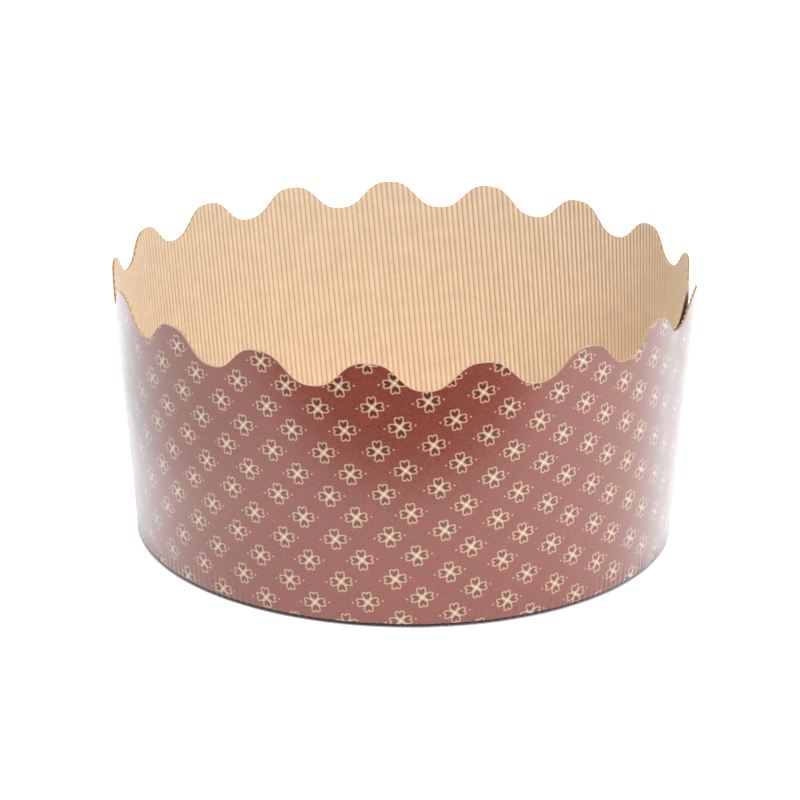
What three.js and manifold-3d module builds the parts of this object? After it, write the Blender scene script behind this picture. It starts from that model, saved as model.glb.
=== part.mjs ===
// Paper baking mould for a tall sweet bread: a tapered cup of single-face micro-corrugated board.
// A curved blank is wrapped once round, lapped and glued, and its lower edge is crimped and folded in.
// A disc of the same board lies on that hem as the floor. The flutes face the inside of the cup.
// Frame: +Z up, origin at the centre of the foot, the front of the mould towards -Y, millimetres.

import * as THREE from 'three';
import * as BufferGeometryUtils from 'three/addons/utils/BufferGeometryUtils.js';
import Module from 'manifold-3d';

// Cup
const BASE_DIAMETER = 158; // outside, at the fold
const WALL_HEIGHT = 75.3; // from the foot to the mean height of the scallops
const WALL_FLARE = 6; // how far the rim stands out beyond the foot, on each side

// Board: a flat liner outside and a fluted paper inside
const LINER_THICKNESS = 0.25;
const FLUTE_DEPTH = 0.55;
const FLUTE_PITCH = 1.67; // from crest to crest in the flat blank
const CRUSHED_THICKNESS = 0.6; // where the fold has pressed the flutes flat

// Scalloped rim
const SCALLOP_COUNT = 17;
const SCALLOP_RISE = 4.2; // first harmonic of the wave; the next two make its lobes round
const SCALLOP_SECOND = -0.02;
const SCALLOP_THIRD = -0.075;
const SCALLOP_TURN = 115.7; // degrees of one wave by which the pattern is turned

// Lap seam, on the +X side
const LAP_START = 64; // degrees round from the front, where the blank's inner end lies
const LAP_LENGTH = 32; // measured round the rim
const GLUE_LENGTH = 8; // glued part of the lap, from the inner end
const LAP_GAPE = 2; // how far the inner layer stands off at the rim, beyond the glue
const LAP_EASE = 30; // length over which the inner layer comes back to the round
const SEAM_FLAT = 2; // how far the stiff lap flattens the rim
const SEAM_FLAT_LENGTH = 85; // length of the flattened stretch, to each side of the lap's middle

// Folded-in hem
const HEM_WIDTH = 10;
const FOLD_RADIUS = 1.6;
const CRIMP_HEIGHT = 10; // how far the creases of the fold run up the wall
const CRIMP_DEPTH = 0.25;
const PLEATS_PER_SCALLOP = 6;
const PLEAT_RISE = 0.4; // extra height where the gathered hem doubles up
const HEM_GAP = 1; // least room between the two ends of the hem

// Fits
const CLEARANCE = 0.3; // between glued layers
const FLOOR_CLEARANCE = 0.5; // between the floor's edge and the wall

const baseRadius = BASE_DIAMETER / 2;
const rimRadius = baseRadius + WALL_FLARE;
const taper = WALL_FLARE / WALL_HEIGHT;
const coneSine = Math.sin(Math.atan(taper));
const board = LINER_THICKNESS + FLUTE_DEPTH;
const lapStep = board + CLEARANCE;

// The blank runs once round and on by the lap. Angles are radians, from the front towards +X.
const blankStart = THREE.MathUtils.degToRad(LAP_START);
const blankEnd = blankStart + 2 * Math.PI + LAP_LENGTH / rimRadius;
const blankMiddle = (blankStart + blankEnd) / 2;
const tailAngle = blankEnd - 2 * Math.PI;
const lapMiddle = (blankStart + tailAngle) / 2;
const columnsPerScallop = 2 * PLEATS_PER_SCALLOP;
const columnAngle = (2 * Math.PI) / (SCALLOP_COUNT * columnsPerScallop);
const { smoothstep } = THREE.MathUtils;

function coneRadius(z) {
    return baseRadius + taper * z;
}

function rimHeight(s) {
    const turn = SCALLOP_COUNT * s + THREE.MathUtils.degToRad(SCALLOP_TURN);
    const wave = Math.cos(turn) + SCALLOP_SECOND * Math.cos(2 * turn) + SCALLOP_THIRD * Math.cos(3 * turn);
    return WALL_HEIGHT + SCALLOP_RISE * wave;
}

// How far the board is set in from the true cone: the inner layer of the lap by its own thickness and by
// the gape above its glue, and both layers by the flat that the stiff seam makes. The floor keeps the
// foot round, so all but the lap's own step fades to nothing there.
function seamSet(s, z) {
    const share = z / WALL_HEIGHT;
    const backToRound = tailAngle + LAP_EASE / rimRadius;
    const inner = 1 - smoothstep(s, tailAngle + columnAngle, backToRound);
    const gapeStart = blankStart + GLUE_LENGTH / rimRadius;
    const gape = LAP_GAPE * share * smoothstep(s, gapeStart, tailAngle);
    const fromLap = Math.min(Math.abs(s - lapMiddle), Math.abs(s - lapMiddle - 2 * Math.PI)) * rimRadius;
    const flat = SEAM_FLAT * share * (1 - smoothstep(fromLap, 0, SEAM_FLAT_LENGTH));
    return inner * (lapStep + gape) + flat;
}

function wallPoint(s, z, depth) {
    const radius = coneRadius(z) - seamSet(s, z) - depth;
    return new THREE.Vector3(radius * Math.sin(s), -radius * Math.cos(s), z);
}

// The flutes are straight and parallel in the flat blank, so on the cup they lean more and more towards
// the seam. Line number k is a crest when k is even and a valley when it is odd.
const lineStep = FLUTE_PITCH / 2;

function lineAngle(k, z) {
    const apexDistance = coneRadius(z) / coneSine;
    return blankMiddle + Math.asin((k * lineStep) / apexDistance) / coneSine;
}

function lineHeightAt(k, s) {
    const apexDistance = (k * lineStep) / Math.sin((s - blankMiddle) * coneSine);
    return (apexDistance * coneSine - baseRadius) / taper;
}

function lineRim(k) {
    let z = WALL_HEIGHT;
    for (let i = 0; i < 20; i++) {
        z = rimHeight(lineAngle(k, z));
    }
    return z;
}

function fluteDepth(s, z) {
    const apexDistance = coneRadius(z) / coneSine;
    const across = (apexDistance * Math.sin((s - blankMiddle) * coneSine)) / lineStep;
    const fromCrest = Math.abs(across - 2 * Math.round(across / 2));
    return LINER_THICKNESS + FLUTE_DEPTH * (1 - fromCrest);
}

function flutePoint(s, z) {
    return wallPoint(s, z, fluteDepth(s, z));
}

// A skin of triangles, collected face by face and welded at the end
class Skin {
    constructor() {
        this.corners = [];
    }

    triangle(a, b, c) {
        if (!a.equals(b) && !b.equals(c) && !c.equals(a)) {
            this.corners.push(a, b, c);
        }
    }

    // Two chains of { at, point } joined by triangles. Their front is seen with the values of at growing
    // to the right and the lower chain below the upper one.
    zip(lower, upper) {
        const middle = (chain, i) => (i < chain.length - 1 ? chain[i].at + chain[i + 1].at : Infinity);
        let i = 0;
        let j = 0;
        while (i < lower.length - 1 || j < upper.length - 1) {
            if (middle(lower, i) <= middle(upper, j)) {
                this.triangle(lower[i].point, lower[i + 1].point, upper[j].point);
                i++;
            } else {
                this.triangle(lower[i].point, upper[j + 1].point, upper[j].point);
                j++;
            }
        }
    }

    geometry() {
        const soup = new THREE.BufferGeometry();
        soup.setFromPoints(this.corners);
        const welded = BufferGeometryUtils.mergeVertices(soup, 1e-4);
        welded.computeVertexNormals();
        return welded;
    }
}

// Columns of the printed face: a few to each scallop, and one more at the far end of the blank
const columnAngles = [];
for (let s = blankStart; s < blankEnd - columnAngle / 2; s += columnAngle) {
    columnAngles.push(s);
}
columnAngles.push(blankEnd);

function rowOf(pointAt) {
    return columnAngles.map((s, i) => ({ at: s, point: pointAt(s, i) }));
}

function makeSideWall() {
    const skin = new Skin();

    // The inner layer has no hem under the lap: it is trimmed just above the fold of the outer layer
    const hemFirst = columnAngles.findIndex((s) => s * baseRadius > tailAngle * baseRadius + HEM_GAP);
    const trimHeight = FOLD_RADIUS + CLEARANCE;
    const crimp = (i) => (i >= hemFirst && i % 2 === 1 ? CRIMP_DEPTH : 0);
    const pleat = (i) => (i % 2 === 1 ? PLEAT_RISE : 0);
    const footHeight = (i) => (i >= hemFirst ? FOLD_RADIUS : trimHeight);
    const halfway = FOLD_RADIUS * (1 - Math.SQRT1_2);

    const outerRim = rowOf((s) => wallPoint(s, rimHeight(s), 0));
    const outerCrimp = rowOf((s) => wallPoint(s, CRIMP_HEIGHT, 0));
    const outerFoot = rowOf((s, i) => wallPoint(s, footHeight(i), crimp(i)));
    const outerFold = rowOf((s, i) => wallPoint(s, halfway, halfway + crimp(i)));
    const soleOuter = rowOf((s, i) => wallPoint(s, 0, FOLD_RADIUS + crimp(i)));
    const soleInner = rowOf((s) => wallPoint(s, 0, HEM_WIDTH));
    const hemInner = rowOf((s, i) => wallPoint(s, CRUSHED_THICKNESS + pleat(i), HEM_WIDTH));
    const hemOuter = rowOf((s) => wallPoint(s, CRUSHED_THICKNESS, FOLD_RADIUS + crimp(1)));
    const innerFoot = rowOf((s, i) => wallPoint(s, footHeight(i), CRUSHED_THICKNESS));

    // Printed face, and the hem round to its inside, in order round the section
    skin.zip(outerCrimp, outerRim);
    skin.zip(outerFoot, outerCrimp);
    const hemRows = [outerFoot, outerFold, soleOuter, soleInner, hemInner, hemOuter, innerFoot];
    for (let r = 1; r < hemRows.length; r++) {
        skin.zip(hemRows[r].slice(hemFirst), hemRows[r - 1].slice(hemFirst));
    }
    skin.zip(innerFoot.slice(0, hemFirst + 1), outerFoot.slice(0, hemFirst + 1));

    // Flutes: each line runs from the crimp, or from where it leaves the end of the blank, to the rim
    const atHeight = (s, z) => ({ at: z, point: flutePoint(s, z) });
    const rows = [CRIMP_HEIGHT, (CRIMP_HEIGHT + WALL_HEIGHT) / 2];
    const lineCount = Math.ceil((blankEnd - blankStart) * rimRadius / FLUTE_PITCH);
    const lines = [];
    for (let k = -lineCount; k <= lineCount; k++) {
        const end = k < 0 ? blankStart : blankEnd;
        const entry = k === 0 ? -Infinity : lineHeightAt(k, end);
        const top = lineRim(k);
        if (entry < rimHeight(end)) {
            const whole = entry <= CRIMP_HEIGHT;
            const heights = [...rows.filter((z) => z > entry), top];
            const chain = heights.map((z) => atHeight(lineAngle(k, z), z));
            if (!whole) {
                chain.unshift(atHeight(end, entry));
            }
            lines.push({ end, whole, chain, foot: lineAngle(k, CRIMP_HEIGHT), rim: lineAngle(k, top) });
        }
    }
    const footCorner = (s) => atHeight(s, CRIMP_HEIGHT);
    const rimCorner = (s) => atHeight(s, rimHeight(s));
    for (let n = 1; n < lines.length; n++) {
        const left = lines[n - 1];
        const right = lines[n];
        const leftCorner = !left.whole && right.whole ? [footCorner(blankStart)] : [];
        const rightCorner = left.whole && !right.whole ? [footCorner(blankEnd)] : [];
        skin.zip([...leftCorner, ...left.chain], [...rightCorner, ...right.chain]);
    }
    const first = lines[0];
    const last = lines[lines.length - 1];
    skin.zip([first.chain[0], rimCorner(blankStart)], first.chain);
    skin.zip(last.chain, [last.chain[0], rimCorner(blankEnd)]);

    // The crimped band below the flutes, and the cut edge of the rim
    const along = (s, link) => ({ at: s, point: link.point });
    const feet = lines.filter((line) => line.whole).map((line) => along(line.foot, line.chain[0]));
    feet.unshift(along(blankStart, footCorner(blankStart)));
    feet.push(along(blankEnd, footCorner(blankEnd)));
    const tops = lines.map((line) => along(line.rim, line.chain[line.chain.length - 1]));
    tops.unshift(along(blankStart, rimCorner(blankStart)));
    tops.push(along(blankEnd, rimCorner(blankEnd)));
    skin.zip(feet, innerFoot);
    skin.zip(outerRim, tops);

    // Cut ends of the blank: the liner's edge and the fluted edge, joined from the foot to the rim
    const edgeLink = (link) => ({ at: link.point.z, point: link.point });
    const linerEdge = (i) => [outerFoot[i], outerCrimp[i], outerRim[i]].map(edgeLink);
    const flutedEdge = (i, s) => {
        const entries = lines.filter((line) => !line.whole && line.end === s).map((line) => line.chain[0]);
        entries.sort((a, b) => a.at - b.at);
        return [edgeLink(innerFoot[i]), footCorner(s), ...entries, rimCorner(s)];
    };
    const lastColumn = columnAngles.length - 1;
    skin.zip(linerEdge(0), flutedEdge(0, blankStart));
    skin.zip(flutedEdge(lastColumn, blankEnd), linerEdge(lastColumn));

    // Cut ends of the hem, joined from the foot of the wall to the hem's inner edge
    const hemOutside = (i) => hemRows.slice(0, 4).map((row, n) => ({ at: n, point: row[i].point }));
    const hemInside = (i) => [innerFoot, hemOuter, hemInner].map((row, n) => ({ at: 1.5 * n, point: row[i].point }));
    skin.zip(hemInside(hemFirst), hemOutside(hemFirst));
    skin.zip(hemOutside(lastColumn), hemInside(lastColumn));

    const material = new THREE.MeshStandardMaterial({ color: 0x8a3c2a, roughness: 0.4, metalness: 0 });
    const mesh = new THREE.Mesh(skin.geometry(), material);
    mesh.name = 'side_wall';
    return mesh;
}

// A plain three.js solid as a manifold, and back again
const wasm = await Module();
wasm.setup();

function toManifold(geometry) {
    const bare = geometry.clone();
    bare.deleteAttribute('normal');
    bare.deleteAttribute('uv');
    const merged = BufferGeometryUtils.mergeVertices(bare);
    return new wasm.Manifold(new wasm.Mesh({
        numProp: 3,
        vertProperties: new Float32Array(merged.attributes.position.array),
        triVerts: new Uint32Array(merged.index.array),
    }));
}

function fromManifold(solid) {
    const mesh = solid.getMesh();
    const geometry = new THREE.BufferGeometry();
    geometry.setAttribute('position', new THREE.BufferAttribute(mesh.vertProperties, 3));
    geometry.setIndex(new THREE.BufferAttribute(mesh.triVerts, 1));
    geometry.computeVertexNormals();
    return geometry;
}

// Floor: a sheet with straight flutes on its upper side, cut round to lie inside the inner layer
function makeBaseDisc() {
    const radius = baseRadius - lapStep - board - FLOOR_CLEARANCE;
    const ridges = Math.ceil(radius / FLUTE_PITCH) + 1;
    const section = new THREE.Shape();
    section.moveTo(-ridges * FLUTE_PITCH, 0);
    section.lineTo(ridges * FLUTE_PITCH, 0);
    for (let k = 2 * ridges; k >= -2 * ridges; k--) {
        section.lineTo(k * lineStep, k % 2 === 0 ? board : LINER_THICKNESS);
    }
    const length = 2 * radius + 2 * FLUTE_PITCH;
    const sheet = new THREE.ExtrudeGeometry(section, { depth: length, bevelEnabled: false });
    sheet.rotateX(Math.PI / 2);
    sheet.translate(0, length / 2, 0);

    const cutter = new THREE.CylinderGeometry(radius, radius, 4 * board, 96);
    cutter.rotateX(Math.PI / 2);

    const disc = toManifold(sheet).intersect(toManifold(cutter));
    const material = new THREE.MeshStandardMaterial({ color: 0xe0bd8c, roughness: 0.85, metalness: 0 });
    const mesh = new THREE.Mesh(fromManifold(disc), material);
    mesh.name = 'base_disc';
    mesh.position.z = CRUSHED_THICKNESS + PLEAT_RISE + CLEARANCE;
    return mesh;
}

const mould = new THREE.Group();
mould.name = 'baking_mould';
mould.add(makeSideWall(), makeBaseDisc());

export default mould;
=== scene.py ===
import math

import bmesh
import bpy
import numpy as np
from mathutils import Matrix, Vector


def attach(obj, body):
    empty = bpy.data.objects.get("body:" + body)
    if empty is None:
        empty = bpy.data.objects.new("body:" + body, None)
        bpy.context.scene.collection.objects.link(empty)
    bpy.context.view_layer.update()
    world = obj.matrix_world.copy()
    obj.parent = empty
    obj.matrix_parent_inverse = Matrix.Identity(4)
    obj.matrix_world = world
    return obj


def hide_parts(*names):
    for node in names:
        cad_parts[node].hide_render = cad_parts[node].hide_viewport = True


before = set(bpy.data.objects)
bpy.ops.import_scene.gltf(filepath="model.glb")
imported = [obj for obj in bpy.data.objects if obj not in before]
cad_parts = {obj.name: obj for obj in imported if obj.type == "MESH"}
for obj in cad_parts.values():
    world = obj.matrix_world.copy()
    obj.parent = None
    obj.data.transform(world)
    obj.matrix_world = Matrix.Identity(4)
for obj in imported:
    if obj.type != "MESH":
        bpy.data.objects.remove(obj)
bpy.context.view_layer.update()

# Side wall, printed liner. A curved blank of white-backed paper, printed and varnished on its outer face,
# is wrapped once round, lapped at the right and glued. Its upper edge is die-cut in scallops and its lower
# edge is crimped, folded in and pressed flat as a hem under the floor.
MM = 0.001
BASE_RADIUS = 79 * MM
WALL_HEIGHT = 75.3 * MM
WALL_FLARE = 6 * MM
LINER_THICKNESS = 0.25 * MM
FLUTE_DEPTH = 0.55 * MM
FLUTE_PITCH = 1.67 * MM
SCALLOP_COUNT = 17
SCALLOP_RISE = 4.2 * MM
SCALLOP_SECOND = -0.02
SCALLOP_THIRD = -0.075
SCALLOP_TURN = math.radians(115.7)
LAP_START = math.radians(64)
LAP_LENGTH = 32 * MM
GLUE_LENGTH = 8 * MM
LAP_STEP = 1.1 * MM
LAP_GAPE = 0.2 * MM
LAP_EASE_START = 1.8 * MM
LAP_EASE = 30 * MM
SEAM_FLAT = 2 * MM
SEAM_FLAT_LENGTH = 85 * MM
TAIL_SPRING = 1.2 * MM
TAIL_SPRING_LENGTH = 18 * MM
TAIL_SPRING_FROM_END = 12 * MM
HEM_WIDTH = 10 * MM
HEM_GAP = 1 * MM
FOLD_RADIUS = 1.6 * MM
TRIM_HEIGHT = 1.9 * MM
CREASE_COUNT = 224
CREASE_DEPTH = 0.3 * MM
CREASE_HEIGHT = 9 * MM
CREASE_HEIGHT_SPREAD = 3 * MM
COLUMNS_PER_CREASE = 6

RIM_RADIUS = BASE_RADIUS + WALL_FLARE
TAPER = WALL_FLARE / WALL_HEIGHT
CONE_SINE = math.sin(math.atan(TAPER))
BLANK_END = LAP_START + math.tau + LAP_LENGTH / RIM_RADIUS
BLANK_MIDDLE = (LAP_START + BLANK_END) / 2
TAIL_ANGLE = BLANK_END - math.tau
LAP_MIDDLE = (LAP_START + TAIL_ANGLE) / 2
APEX_DISTANCE = BASE_RADIUS / CONE_SINE
HEM_START = TAIL_ANGLE + 3 * HEM_GAP / BASE_RADIUS


def smoothstep(value, low, high):
    share = np.clip((value - low) / (high - low), 0, 1)
    return share * share * (3 - 2 * share)


def rim_height(angle):
    turn = SCALLOP_COUNT * angle + SCALLOP_TURN
    wave = np.cos(turn) + SCALLOP_SECOND * np.cos(2 * turn) + SCALLOP_THIRD * np.cos(3 * turn)
    return WALL_HEIGHT + SCALLOP_RISE * wave


def seam_set(angle, height):
    """How far the board is set in from the true cone by the lap and the flat that its stiffness makes."""
    share = height / WALL_HEIGHT
    past_tail = (angle - TAIL_ANGLE) * RIM_RADIUS
    inner = 1 - smoothstep(past_tail, LAP_EASE_START, LAP_EASE)
    gape = LAP_GAPE * share * smoothstep(angle, LAP_START + GLUE_LENGTH / RIM_RADIUS, TAIL_ANGLE)
    to_lap = np.minimum(np.abs(angle - LAP_MIDDLE), np.abs(angle - LAP_MIDDLE - math.tau)) * RIM_RADIUS
    flat = SEAM_FLAT * share * (1 - smoothstep(to_lap, 0, SEAM_FLAT_LENGTH))
    to_spring = np.abs((BLANK_END - angle) * RIM_RADIUS - TAIL_SPRING_FROM_END)
    spring = TAIL_SPRING * share * (1 - smoothstep(to_spring, 0, TAIL_SPRING_LENGTH))
    return inner * (LAP_STEP + gape) + flat - spring


def crease(angle, height):
    """How far the crimping of the folded edge presses the board in: sharp creases, no two quite alike."""
    phase = CREASE_COUNT * angle / 2 + 0.7 * np.sin(7 * angle) + 0.4 * np.sin(23 * angle + 1)
    sharp = (1 - np.abs(np.sin(phase))) ** 1.5
    strength = 0.65 + 0.35 * np.sin(13 * angle) * np.sin(37 * angle + 2)
    reach = CREASE_HEIGHT + CREASE_HEIGHT_SPREAD * np.sin(41 * angle) * np.sin(17 * angle + 1)
    return CREASE_DEPTH * strength * sharp * (1 - smoothstep(height, 0.2 * reach, reach))


def on_wall(angle, height, depth):
    radius = BASE_RADIUS + TAPER * height - seam_set(angle, height) - depth
    return np.stack([radius * np.sin(angle), -radius * np.cos(angle), height], axis=1)


def on_blank(angle, climb):
    """The same point in the flat blank. Its curve's centre is at the origin, less the cone's own reach."""
    reach = APEX_DISTANCE + climb / math.cos(math.atan(TAPER))
    turn = (angle - BLANK_MIDDLE) * CONE_SINE
    return np.stack([reach * np.sin(turn), reach * np.cos(turn) - APEX_DISTANCE], axis=1)


def flat_sheet(name, columns, rows):
    """A flat sheet of quads, and each point's place on it as shares from its left end and its foot."""
    bpy.ops.object.select_all(action="DESELECT")
    bpy.ops.mesh.primitive_grid_add(x_subdivisions=columns, y_subdivisions=rows, size=1)
    sheet = bpy.context.object
    sheet.name = name
    places = np.empty(3 * len(sheet.data.vertices))
    sheet.data.vertices.foreach_get("co", places)
    places = places.reshape(-1, 3)
    row_count = len(np.unique(np.round(places[:, 1], 5))) - 1
    return sheet, places[:, 0] + 0.5, np.round((places[:, 1] + 0.5) * row_count).astype(int)


def wrap(sheet, points, blank):
    """The sheet's points go to their places, and its UV map keeps the flat blank."""
    sheet.data.vertices.foreach_set("co", points.ravel())
    corners = np.empty(len(sheet.data.loops), dtype=int)
    sheet.data.loops.foreach_get("vertex_index", corners)
    layer = sheet.data.uv_layers[0]
    layer.name = "blank"
    layer.data.foreach_set("uv", blank[corners].ravel())
    sheet.data.update()


def thicken(sheet, thickness, offset, materials, smooth_angle):
    """The sheet gets its thickness. Materials are those of its outer face, inner face and cut edges."""
    for material in materials:
        sheet.data.materials.append(material)
    bpy.ops.object.select_all(action="DESELECT")
    bpy.context.view_layer.objects.active = sheet
    sheet.select_set(True)
    bpy.ops.object.modifier_add(type="SOLIDIFY")
    solidify = sheet.modifiers[-1]
    solidify.thickness = thickness
    solidify.offset = offset
    solidify.use_even_offset = True
    solidify.thickness_clamp = 0
    solidify.material_offset = 1
    solidify.material_offset_rim = 2
    bpy.ops.object.modifier_apply(modifier=solidify.name)
    bpy.ops.object.shade_smooth_by_angle(angle=math.radians(smooth_angle))


def colour(red, green, blue):
    """A colour given as it shows on screen, from 0 to 255."""
    share = [c / 255 for c in (red, green, blue)]
    return [c / 12.92 if c <= 0.04045 else ((c + 0.055) / 1.055) ** 2.4 for c in share] + [1]


def link(tree, value, socket):
    if isinstance(value, bpy.types.NodeSocket):
        tree.links.new(value, socket)
    else:
        socket.default_value = value


def maths(tree, operation, *values, clamp=False):
    node = tree.nodes.new("ShaderNodeMath")
    node.operation = operation
    node.use_clamp = clamp
    for value, socket in zip(values, node.inputs):
        link(tree, value, socket)
    return node.outputs[0]


def vector_maths(tree, operation, *values, scale=None):
    node = tree.nodes.new("ShaderNodeVectorMath")
    node.operation = operation
    for value, socket in zip(values, node.inputs):
        link(tree, value, socket)
    if scale is not None:
        link(tree, scale, node.inputs["Scale"])
    return node.outputs["Value"] if operation in ("DOT_PRODUCT", "LENGTH") else node.outputs["Vector"]


def remap(tree, value, from_low, from_high, to_low, to_high, smooth=False):
    node = tree.nodes.new("ShaderNodeMapRange")
    node.interpolation_type = "SMOOTHSTEP" if smooth else "LINEAR"
    for number, socket in zip((value, from_low, from_high, to_low, to_high), node.inputs):
        link(tree, number, socket)
    return node.outputs["Result"]


def blend(tree, share, under, over, mode="MIX"):
    node = tree.nodes.new("ShaderNodeMix")
    node.data_type = "RGBA"
    node.blend_type = mode
    for value, socket in ((share, node.inputs[0]), (under, node.inputs[6]), (over, node.inputs[7])):
        link(tree, value, socket)
    return node.outputs[2]


def noise(tree, place, scale, detail=2, roughness=0.5):
    node = tree.nodes.new("ShaderNodeTexNoise")
    link(tree, place, node.inputs["Vector"])
    node.inputs["Scale"].default_value = scale
    node.inputs["Detail"].default_value = detail
    node.inputs["Roughness"].default_value = roughness
    return node.outputs["Fac"]


def new_material(name, flat_blank=True):
    """A new material with its node tree, its shader and the coordinates that its textures are laid by."""
    material = bpy.data.materials.new(name)
    material.use_nodes = True
    tree = material.node_tree
    shader = tree.nodes["Principled BSDF"]
    if flat_blank:
        place = tree.nodes.new("ShaderNodeUVMap")
        place.uv_map = "blank"
        return material, tree, shader, place.outputs["UV"]
    place = tree.nodes.new("ShaderNodeTexCoord")
    return material, tree, shader, place.outputs["Object"]


def bump(tree, shader, height, distance, strength=1.0):
    node = tree.nodes.new("ShaderNodeBump")
    node.inputs["Strength"].default_value = strength
    node.inputs["Distance"].default_value = distance
    link(tree, height, node.inputs["Height"])
    tree.links.new(node.outputs["Normal"], shader.inputs["Normal"])


CLOUDS_PER_METRE = 180
FIBRES_PER_METRE = (2600, 2300)
FIBRE_STRETCH = 0.35


def make_paper_group():
    """Paper's own structure: cloudy formation and short fibres, from the sheet's coordinates."""
    group = bpy.data.node_groups.new("paper_structure", "ShaderNodeTree")
    group.interface.new_socket("Place", in_out="INPUT", socket_type="NodeSocketVector")
    group.interface.new_socket("Clouds", in_out="OUTPUT", socket_type="NodeSocketFloat")
    group.interface.new_socket("Fibres", in_out="OUTPUT", socket_type="NodeSocketFloat")
    entry = group.nodes.new("NodeGroupInput")
    result = group.nodes.new("NodeGroupOutput")
    place = entry.outputs["Place"]
    clouds = noise(group, place, CLOUDS_PER_METRE, detail=4, roughness=0.6)
    along = vector_maths(group, "MULTIPLY", place, (1.0, FIBRE_STRETCH, 1.0))
    across = vector_maths(group, "MULTIPLY", place, (FIBRE_STRETCH, 1.0, 1.0))
    lying = noise(group, along, FIBRES_PER_METRE[0])
    crossing = noise(group, across, FIBRES_PER_METRE[1])
    fibres = maths(group, "MAXIMUM", lying, crossing)
    group.links.new(clouds, result.inputs["Clouds"])
    group.links.new(fibres, result.inputs["Fibres"])
    return group


paper_group = make_paper_group()


def paper(tree, place):
    node = tree.nodes.new("ShaderNodeGroup")
    node.node_tree = paper_group
    link(tree, place, node.inputs["Place"])
    return node.outputs["Clouds"], node.outputs["Fibres"]


PRINT_BROWN = colour(135, 48, 29)
PRINT_DEEP = colour(116, 41, 26)
PRINT_GRAIN = colour(158, 78, 56)
PRINT_CREAM = colour(238, 200, 168)
PRINT_PALE = colour(246, 220, 192)
PRINT_LINE = colour(212, 162, 132)
PRINT_OLIVE = colour(92, 44, 14)
# Painted shade: a dark band round the foot fold of the liner stands in for the shadow under the fold.
FOLD_PAINTED_SHADE = colour(52, 24, 14)
PAINTED_FOLD_SHADE_MIDDLE = -0.3 * MM
PAINTED_FOLD_SHADE_REACH = 1.5 * MM
# Painted sheen: the colour turns towards this grey-lavender where the face is seen edge-on, as the
# varnish's glancing reflection of the bright room.
PAINTED_SHEEN = colour(142, 138, 146)
PAINTED_SHEEN_STRENGTH = 0.85
VARNISH_RELIEF = 0.04 * MM
GRAIN_STRENGTH = 0.8
DOT_STRENGTH = 0.7
REPEAT_ACROSS = 15.075 * MM
REPEAT_UP = 12.99 * MM
REPEAT_TURN = math.radians(-1.03)
REPEAT_ORIGIN = (151.54 * MM, 1018.75 * MM - APEX_DISTANCE, 0)
ROW_SHIFT = 0.85 * MM
HEART_POINT = (0, 0.88 * MM, 0)
HEART_LOBE = (0.66 * MM, 2.48 * MM, 0)
HEART_POINT_RADIUS = 0.1 * MM
HEART_LOBE_RADIUS = 0.3 * MM
HEART_BULGE = 1.2 * MM
OUTLINE = 0.42 * MM
CROSS_WIDTH = 0.09 * MM
CROSS_REACH = 1.9 * MM
CENTRE_RADIUS = 0.4 * MM
DOT_PLACE = 4.2 * MM
DOT_RADIUS = 0.26 * MM
PRINT_EDGE = 0.07 * MM


def step_vector(across, up):
    turned = Matrix.Rotation(REPEAT_TURN, 2) @ Vector((across, up))
    return Vector((turned.x, turned.y, 0))


def inside(tree, distance, limit):
    """1 where the distance is less than the limit, with an edge as soft as printed ink's."""
    return remap(tree, distance, limit - PRINT_EDGE, limit + PRINT_EDGE, 1, 0)


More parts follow.
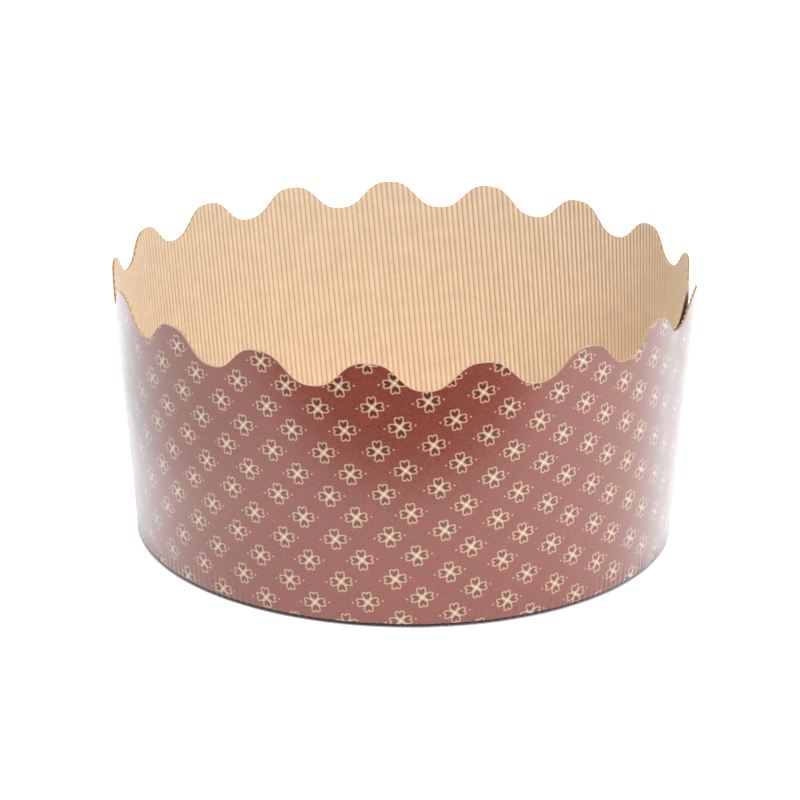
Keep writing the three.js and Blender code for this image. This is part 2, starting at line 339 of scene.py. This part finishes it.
def four_petals(tree, place):
    """Repeat of a common four-petal ornament: four heart outlines round a small cross, and a dot to each
    side. Every second row is shifted a little from the half-drop. Gives the masks of the dots, outlines,
    dark hearts and paler crosses."""
    rising = step_vector(REPEAT_ACROSS / 2, REPEAT_UP / 2)
    falling = step_vector(REPEAT_ACROSS / 2, -REPEAT_UP / 2)
    area = rising.x * falling.y - rising.y * falling.x
    to_rising = (falling.y / area, -falling.x / area, 0)
    to_falling = (-rising.y / area, rising.x / area, 0)
    place = vector_maths(tree, "SUBTRACT", place, REPEAT_ORIGIN)
    steps_rising = maths(tree, "ROUND", vector_maths(tree, "DOT_PRODUCT", place, to_rising))
    steps_falling = maths(tree, "ROUND", vector_maths(tree, "DOT_PRODUCT", place, to_falling))
    for step, steps in ((rising, steps_rising), (falling, steps_falling)):
        place = vector_maths(tree, "SUBTRACT", place, vector_maths(tree, "SCALE", tuple(step), scale=steps))
    second_row = maths(tree, "PINGPONG", maths(tree, "ADD", steps_rising, steps_falling), 1.0)
    row_shift = vector_maths(tree, "SCALE", tuple(step_vector(ROW_SHIFT, 0)), scale=second_row)
    place = vector_maths(tree, "SUBTRACT", place, row_shift)

    folded = vector_maths(tree, "ABSOLUTE", place)
    parts = tree.nodes.new("ShaderNodeSeparateXYZ")
    link(tree, folded, parts.inputs[0])
    along = maths(tree, "MAXIMUM", parts.outputs["X"], parts.outputs["Y"])
    aside = maths(tree, "MINIMUM", parts.outputs["X"], parts.outputs["Y"])
    petal = tree.nodes.new("ShaderNodeCombineXYZ")
    link(tree, aside, petal.inputs["X"])
    link(tree, along, petal.inputs["Y"])

    lobe_line = Vector(HEART_LOBE) - Vector(HEART_POINT)
    from_point = vector_maths(tree, "SUBTRACT", petal.outputs[0], HEART_POINT)
    share_line = tuple(lobe_line / lobe_line.length_squared)
    share = maths(tree, "ADD", vector_maths(tree, "DOT_PRODUCT", from_point, share_line), 0, clamp=True)
    nearest = vector_maths(tree, "SCALE", tuple(lobe_line), scale=share)
    distance = vector_maths(tree, "LENGTH", vector_maths(tree, "SUBTRACT", from_point, nearest))
    lobe_growth = HEART_LOBE_RADIUS - HEART_POINT_RADIUS
    radius = maths(tree, "MULTIPLY_ADD", share, lobe_growth, HEART_POINT_RADIUS)
    arch = maths(tree, "MULTIPLY", share, maths(tree, "SUBTRACT", 1.0, share))
    radius = maths(tree, "MULTIPLY_ADD", arch, HEART_BULGE, radius)
    to_heart = maths(tree, "SUBTRACT", distance, radius)

    heart = inside(tree, to_heart, 0)
    outline = inside(tree, to_heart, OUTLINE)
    from_centre = vector_maths(tree, "LENGTH", place)
    arm = maths(tree, "MULTIPLY", maths(tree, "SUBTRACT", along, aside), math.sqrt(0.5))
    cross = maths(tree, "MULTIPLY", inside(tree, arm, CROSS_WIDTH), inside(tree, from_centre, CROSS_REACH))
    centre = inside(tree, from_centre, CENTRE_RADIUS)
    dot_at = vector_maths(tree, "SUBTRACT", folded, (DOT_PLACE, 0, 0))
    dot = inside(tree, vector_maths(tree, "LENGTH", dot_at), DOT_RADIUS)
    return dot, outline, heart, maths(tree, "MAXIMUM", cross, centre)


def make_printed_paper():
    material, tree, shader, place = new_material("printed_varnished_paper")
    clouds, fibres = paper(tree, place)
    tone = remap(tree, clouds, 0.3, 0.7, 0, 1)
    ground = blend(tree, tone, PRINT_DEEP, PRINT_BROWN)
    grain = remap(tree, fibres, 0.4, 0.75, 0, GRAIN_STRENGTH)
    ground = blend(tree, grain, ground, PRINT_GRAIN)
    dots, lines, hearts, crosses = four_petals(tree, place)
    ground = blend(tree, maths(tree, "MULTIPLY", dots, DOT_STRENGTH), ground, PRINT_CREAM)
    ground = blend(tree, lines, ground, PRINT_LINE)
    ground = blend(tree, crosses, ground, PRINT_PALE)
    ground = blend(tree, hearts, ground, PRINT_OLIVE)

    # Painted shade along the foot fold: the dark band is mixed into the colour there, and the coat is left
    # off over it.
    from_apex = vector_maths(tree, "LENGTH", vector_maths(tree, "ADD", place, (0, APEX_DISTANCE, 0)))
    climb = maths(tree, "SUBTRACT", from_apex, APEX_DISTANCE)
    to_painted_fold_shade = maths(tree, "ABSOLUTE", maths(tree, "SUBTRACT", climb, PAINTED_FOLD_SHADE_MIDDLE))
    painted_fold_shade = inside(tree, to_painted_fold_shade, PAINTED_FOLD_SHADE_REACH)
    ground = blend(tree, painted_fold_shade, ground, FOLD_PAINTED_SHADE)
    # Painted sheen: the colour is mixed towards grey-lavender where the surface turns away from the view,
    # standing in for the varnish's reflection.
    facing = tree.nodes.new("ShaderNodeLayerWeight")
    painted_sheen = remap(tree, facing.outputs["Facing"], 0.45, 0.9, 0, PAINTED_SHEEN_STRENGTH, smooth=True)
    tree.links.new(blend(tree, painted_sheen, ground, PAINTED_SHEEN), shader.inputs["Base Color"])
    tree.links.new(remap(tree, clouds, 0.3, 0.7, 0.34, 0.42), shader.inputs["Roughness"])
    shader.inputs["IOR"].default_value = 1.5
    shader.inputs["Specular IOR Level"].default_value = 0.15
    tree.links.new(maths(tree, "SUBTRACT", 1.0, painted_fold_shade), shader.inputs["Coat Weight"])
    shader.inputs["Coat IOR"].default_value = 1.75
    shader.inputs["Coat Roughness"].default_value = 0.27
    relief = maths(tree, "MULTIPLY_ADD", fibres, 0.3, clouds)
    bump(tree, shader, relief, VARNISH_RELIEF)
    return material


KRAFT_LIGHT = colour(246, 224, 192)
KRAFT_DARK = colour(226, 196, 158)
KRAFT_EDGE = colour(206, 158, 122)
KRAFT_RELIEF = 0.05 * MM


def make_kraft(name, light, dark, flat_blank=True):
    material, tree, shader, place = new_material(name, flat_blank)
    clouds, fibres = paper(tree, place)
    tone = remap(tree, maths(tree, "MULTIPLY_ADD", fibres, 0.4, clouds), 0.4, 1.0, 0, 1)
    tree.links.new(blend(tree, tone, dark, light), shader.inputs["Base Color"])
    tree.links.new(remap(tree, fibres, 0.3, 0.8, 0.75, 0.9), shader.inputs["Roughness"])
    shader.inputs["Specular IOR Level"].default_value = 0.3
    bump(tree, shader, fibres, KRAFT_RELIEF)
    return material


printed_paper = make_printed_paper()
kraft_face = make_kraft("kraft_liner_back", KRAFT_LIGHT, KRAFT_DARK)
kraft_edge = make_kraft("kraft_cut_edge", KRAFT_EDGE, KRAFT_DARK)


def make_printed_liner():
    hem_rows = 3
    fold_rows = 4
    wall_heights = [2.3 * MM, 3.2 * MM, 4.4 * MM, 6 * MM, 8 * MM, 10.5 * MM, 14 * MM]
    scallop_shares = [0.2, 0.4, 0.6, 0.8, 0.93, 1]
    sole_depths = np.linspace(HEM_WIDTH, FOLD_RADIUS, hem_rows + 1)
    fold_turns = np.linspace(0, math.pi / 2, fold_rows + 1)[1:]
    rows = hem_rows + fold_rows + len(wall_heights) + len(scallop_shares)
    blank_turn = BLANK_END - LAP_START
    columns = round(blank_turn / math.tau * CREASE_COUNT * COLUMNS_PER_CREASE)
    sheet, across, row = flat_sheet("printed_liner", columns, rows)
    angle = LAP_START + across * blank_turn
    top = rim_height(angle)

    height = np.zeros(len(row))
    depth = np.zeros(len(row))
    climb = np.zeros(len(row))
    fold_length = FOLD_RADIUS * math.pi / 2
    for n, sole_depth in enumerate(sole_depths):
        depth[row == n] = sole_depth
        climb[row == n] = FOLD_RADIUS - fold_length - (sole_depth - FOLD_RADIUS)
    for n, turn in enumerate(fold_turns, start=len(sole_depths)):
        height[row == n] = FOLD_RADIUS * (1 - math.cos(turn))
        depth[row == n] = FOLD_RADIUS * (1 - math.sin(turn))
        climb[row == n] = FOLD_RADIUS - fold_length * (1 - turn / fold_turns[-1])
    fold_top = hem_rows + fold_rows
    for n, level in enumerate(wall_heights, start=fold_top + 1):
        height[row == n] = level
    last_level = wall_heights[-1]
    for n, share in enumerate(scallop_shares, start=fold_top + len(wall_heights) + 1):
        here = row == n
        height[here] = last_level + share * (top[here] - last_level)
    on_face = row > fold_top
    climb[on_face] = height[on_face]
    under_lap = (row == fold_top) & (angle < HEM_START)
    height[under_lap] = TRIM_HEIGHT
    climb[under_lap] = TRIM_HEIGHT

    depth = depth + crease(angle, height)
    wrap(sheet, on_wall(angle, height, depth), on_blank(angle, climb))

    # The inner end of the blank has no hem, because it is trimmed above the outer layer's fold
    flesh = bmesh.new()
    flesh.from_mesh(sheet.data)
    flesh.verts.ensure_lookup_table()
    spare = [v for v in flesh.verts if row[v.index] < fold_top and angle[v.index] < HEM_START]
    bmesh.ops.delete(flesh, geom=spare, context="VERTS")
    flesh.to_mesh(sheet.data)
    flesh.free()

    thicken(sheet, LINER_THICKNESS, -1, [printed_paper, kraft_face, kraft_edge], 40)
    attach(sheet, "root")
    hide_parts("side_wall")


make_printed_liner()

# Side wall, fluted paper. Bare kraft, pressed into fine flutes between hot rolls and glued to the liner's
# back at each valley. The flutes run straight across the flat blank, so on the cup they lean towards the
# lap. Their open ends show along the die-cut rim.
SAMPLES_PER_FLUTE = 8
PAPER_THICKNESS = 0.12 * MM
FLUTE_FOOT = 1.2 * MM
FLUTE_FULL = 6 * MM
CREST_OVERHANG = 0.15 * MM
# Painted light and shade across each flute: lighter on the crests, darker in the valleys. The valley colour
# is also the darker random tone of the flutes' cut edges.
PAINTED_CREST_LIGHT = colour(249, 232, 210)
PAINTED_VALLEY_SHADE_AND_EDGE_TONE = colour(222, 189, 150)
FLUTE_EDGE = colour(196, 156, 118)
FLUTE_RELIEF = 0.04 * MM
CREST_FLATNESS = 0.8
GLUE_GAP = 0.02 * MM
TOP_ROUNDS = 30


def make_fluted_kraft():
    material, tree, shader, place = new_material("fluted_kraft")
    clouds, fibres = paper(tree, place)
    parts = tree.nodes.new("ShaderNodeSeparateXYZ")
    link(tree, place, parts.inputs[0])
    turn = maths(tree, "MULTIPLY", parts.outputs["X"], math.tau / FLUTE_PITCH)
    # Painted light on the crests and painted shade in the valleys.
    painted_light_on_crests = remap(tree, maths(tree, "COSINE", turn), -1, 0, 0, 1, smooth=True)
    tone = blend(tree, painted_light_on_crests, PAINTED_VALLEY_SHADE_AND_EDGE_TONE, PAINTED_CREST_LIGHT)
    dark = remap(tree, maths(tree, "MULTIPLY_ADD", fibres, 0.5, clouds), 0.45, 1.0, 0.88, 1)
    mottle = tree.nodes.new("ShaderNodeCombineColor")
    for socket in mottle.inputs:
        link(tree, dark, socket)
    tree.links.new(blend(tree, 1.0, tone, mottle.outputs[0], mode="MULTIPLY"), shader.inputs["Base Color"])
    tree.links.new(remap(tree, fibres, 0.3, 0.8, 0.7, 0.9), shader.inputs["Roughness"])
    shader.inputs["Specular IOR Level"].default_value = 0.3
    bump(tree, shader, fibres, FLUTE_RELIEF)
    return material


fluted_kraft = make_fluted_kraft()
flute_edge = make_kraft("flute_cut_edge", FLUTE_EDGE, PAINTED_VALLEY_SHADE_AND_EDGE_TONE)


def line_angle(across, height):
    """The angle at which a straight line of the blank, so far from its centre line, crosses a height."""
    apex_distance = (BASE_RADIUS + TAPER * height) / CONE_SINE
    return BLANK_MIDDLE + np.arcsin(across / apex_distance) / CONE_SINE


def make_flute_paper():
    reach = (BLANK_END - BLANK_MIDDLE) * CONE_SINE
    rim_apex = (RIM_RADIUS + TAPER * 2 * SCALLOP_RISE) / CONE_SINE
    flutes = math.floor(rim_apex * math.sin(reach) / FLUTE_PITCH)
    columns = 2 * flutes * SAMPLES_PER_FLUTE
    shares = np.array([0, 0.02, 0.06, 0.13, 0.4, 0.7, 1])
    sheet, place, row = flat_sheet("flute_paper", columns, len(shares) - 1)
    across = (2 * place - 1) * flutes * FLUTE_PITCH

    # Lines near the ends of the blank start where they cross its cut end, and not at the foot
    end_sine = math.sin(reach)
    entry = (np.abs(across) / end_sine * CONE_SINE - BASE_RADIUS) / TAPER
    foot = np.maximum(entry, FLUTE_FOOT)
    top = np.full(len(row), WALL_HEIGHT)
    # The rim height depends on the angle, and the angle on the height, so both are found by repeating
    for _ in range(TOP_ROUNDS):
        top = np.maximum(rim_height(line_angle(across, top)), foot)
    wave = (0.5 + 0.5 * np.cos(math.tau * across / FLUTE_PITCH)) ** CREST_FLATNESS
    top = top + np.where(top > foot, CREST_OVERHANG * wave, 0)
    height = foot + shares[row] * (top - foot)
    angle = np.clip(line_angle(across, height), LAP_START, BLANK_END)

    pressed = smoothstep(height, FLUTE_FOOT, FLUTE_FULL)
    room = FLUTE_DEPTH - PAPER_THICKNESS
    depth = LINER_THICKNESS + PAPER_THICKNESS / 2 + room * wave * pressed + GLUE_GAP
    depth = depth + crease(angle, height)
    wrap(sheet, on_wall(angle, height, depth), on_blank(angle, height))
    thicken(sheet, PAPER_THICKNESS, 0, [fluted_kraft, fluted_kraft, flute_edge], 60)
    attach(sheet, "root")
    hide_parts("side_wall")


make_flute_paper()

# Floor. A disc of the same single-face board, cut a little smaller than the cup's foot, laid flutes up on
# the folded-in hem and glued to it from inside. Its solid has the right shape, so it only gets its paper.
disc = bpy.data.objects["base_disc"]
disc.data.materials.clear()
disc.data.materials.append(make_kraft("kraft_floor", KRAFT_LIGHT, KRAFT_DARK, flat_blank=False))

# Table and studio. A white table runs past the edges of the picture. A dark card lies in front of the cup
# and a grey one to its left, where the varnish mirrors them. Each card's sides: left, right, front, back.
TABLE_SIZE = 6
TABLE_WHITE = colour(247, 247, 247)
TABLE_GLOW = 0.7
# Reach of the contact shadow that is painted into the table's glow round the cup's foot.
PAINTED_CONTACT_SHADOW_REACH = 1 * MM
CARD_LIFT = 1 * MM
DARK_CARD_TONE = 14
DARK_CARD = (-0.23, 0.18, -0.655, -0.155)
GREY_CARD_TONE = 120
GREY_CARD_GLOW = 1.05
GREY_CARD = (-0.5, -0.125, -0.15, 0.1)


def seen_directly(tree):
    """1 for the camera and for what shows in gloss or through clear things, and 0 for the light itself."""
    path = tree.nodes.new("ShaderNodeLightPath")
    seen = maths(tree, "ADD", path.outputs["Is Camera Ray"], path.outputs["Is Glossy Ray"])
    return maths(tree, "ADD", seen, path.outputs["Is Transmission Ray"], clamp=True)


def make_table():
    material = bpy.data.materials.new("white_table")
    material.use_nodes = True
    tree = material.node_tree
    shader = tree.nodes["Principled BSDF"]
    shader.inputs["Base Color"].default_value = TABLE_WHITE
    shader.inputs["Roughness"].default_value = 0.9
    shader.inputs["Specular IOR Level"].default_value = 0
    shader.inputs["Emission Color"].default_value = (1, 1, 1, 1)
    # Painted contact shadow: the table's glow is taken away where the cup's foot stands close.
    contact_shadow_occlusion = tree.nodes.new("ShaderNodeAmbientOcclusion")
    contact_shadow_occlusion.samples = 6
    contact_shadow_occlusion.inputs["Distance"].default_value = PAINTED_CONTACT_SHADOW_REACH
    outside_painted_contact_shadow = maths(tree, "POWER", contact_shadow_occlusion.outputs["AO"], 2.0)
    strength = maths(tree, "MULTIPLY", maths(tree, "MULTIPLY", seen_directly(tree), TABLE_GLOW), outside_painted_contact_shadow)
    tree.links.new(strength, shader.inputs["Emission Strength"])
    bpy.ops.object.select_all(action="DESELECT")
    bpy.ops.mesh.primitive_plane_add(size=TABLE_SIZE)
    table = bpy.context.object
    table.name = "table"
    table.data.materials.append(material)


make_table()


def make_card(name, tone, glow, left, right, front, back):
    """A card that only gloss shows: it gives no shade, and neither the camera nor the light finds it."""
    material = bpy.data.materials.new(name)
    material.use_nodes = True
    shader = material.node_tree.nodes["Principled BSDF"]
    shader.inputs["Base Color"].default_value = colour(tone, tone, tone)
    shader.inputs["Emission Color"].default_value = (1, 1, 1, 1)
    shader.inputs["Emission Strength"].default_value = glow
    shader.inputs["Roughness"].default_value = 0.9
    bpy.ops.object.select_all(action="DESELECT")
    bpy.ops.mesh.primitive_plane_add(size=1)
    card = bpy.context.object
    card.name = name
    points = [(right if x > 0 else left, back if y > 0 else front, CARD_LIFT)
              for x, y, z in (v.co for v in card.data.vertices)]
    for vertex, point in zip(card.data.vertices, points):
        vertex.co = point
    card.data.materials.append(material)
    card.visible_camera = False
    card.visible_diffuse = False
    card.visible_shadow = False


make_card("dark_card", DARK_CARD_TONE, 0, *DARK_CARD)
make_card("grey_card", GREY_CARD_TONE, GREY_CARD_GLOW, *GREY_CARD)

world = bpy.data.worlds.new("studio")
bpy.context.scene.world = world
world.use_nodes = True
backdrop = world.node_tree.nodes["Background"]
backdrop.inputs["Color"].default_value = (1, 1, 1, 1)
WORLD_LIGHT = 0.42
SOFTBOX_AIM = (0, 0, 0.04)
level = maths(world.node_tree, "MULTIPLY_ADD", seen_directly(world.node_tree), 1 - WORLD_LIGHT, WORLD_LIGHT)
world.node_tree.links.new(level, backdrop.inputs["Strength"])


def add_softbox(name, place, width, height, power):
    """A rectangular light that faces the cup, with its sides in metres and its power in watts."""
    lamp = bpy.data.lights.new(name, "AREA")
    lamp.shape = "RECTANGLE"
    lamp.size = width
    lamp.size_y = height
    lamp.energy = power
    softbox = bpy.data.objects.new(name, lamp)
    bpy.context.scene.collection.objects.link(softbox)
    softbox.location = place
    softbox.visible_camera = False
    softbox.rotation_euler = (Vector(SOFTBOX_AIM) - Vector(place)).to_track_quat("-Z", "Y").to_euler()


add_softbox("key_softbox", (0.6, -0.95, 0.95), 0.4, 0.4, 7.5)
add_softbox("front_softbox", (-0.3, -1.1, 1.2), 0.9, 0.7, 3)
add_softbox("top_softbox", (0, -0.1, 1.2), 1.0, 1.0, 4.5)
add_softbox("back_right_softbox", (0.5, 1.3, 0.36), 1.2, 0.72, 15)
add_softbox("back_left_softbox", (-0.5, 1.3, 0.36), 1.2, 0.72, 1)

# Camera. A long lens a little above the rim, straight on to the front of the cup, and turned by a little
# about its own axis.
TARGET = Vector((-0.00153, 0, 0.0375))
DISTANCE = 0.938
ELEVATION = math.radians(20.45)
ROLL = 0.0111
camera = bpy.data.objects.new("camera", bpy.data.cameras.new("camera"))
bpy.context.scene.collection.objects.link(camera)
camera.data.lens = 143.5
camera.data.sensor_width = 36
camera.data.clip_start = 0.01
camera.location = TARGET + DISTANCE * Vector((0, -math.cos(ELEVATION), math.sin(ELEVATION)))
facing = (TARGET - camera.location).to_track_quat("-Z", "Y").to_matrix()
camera.rotation_euler = (facing @ Matrix.Rotation(ROLL, 3, "Z")).to_euler()
bpy.context.scene.camera = camera

bpy.context.scene.view_settings.view_transform = "Standard"
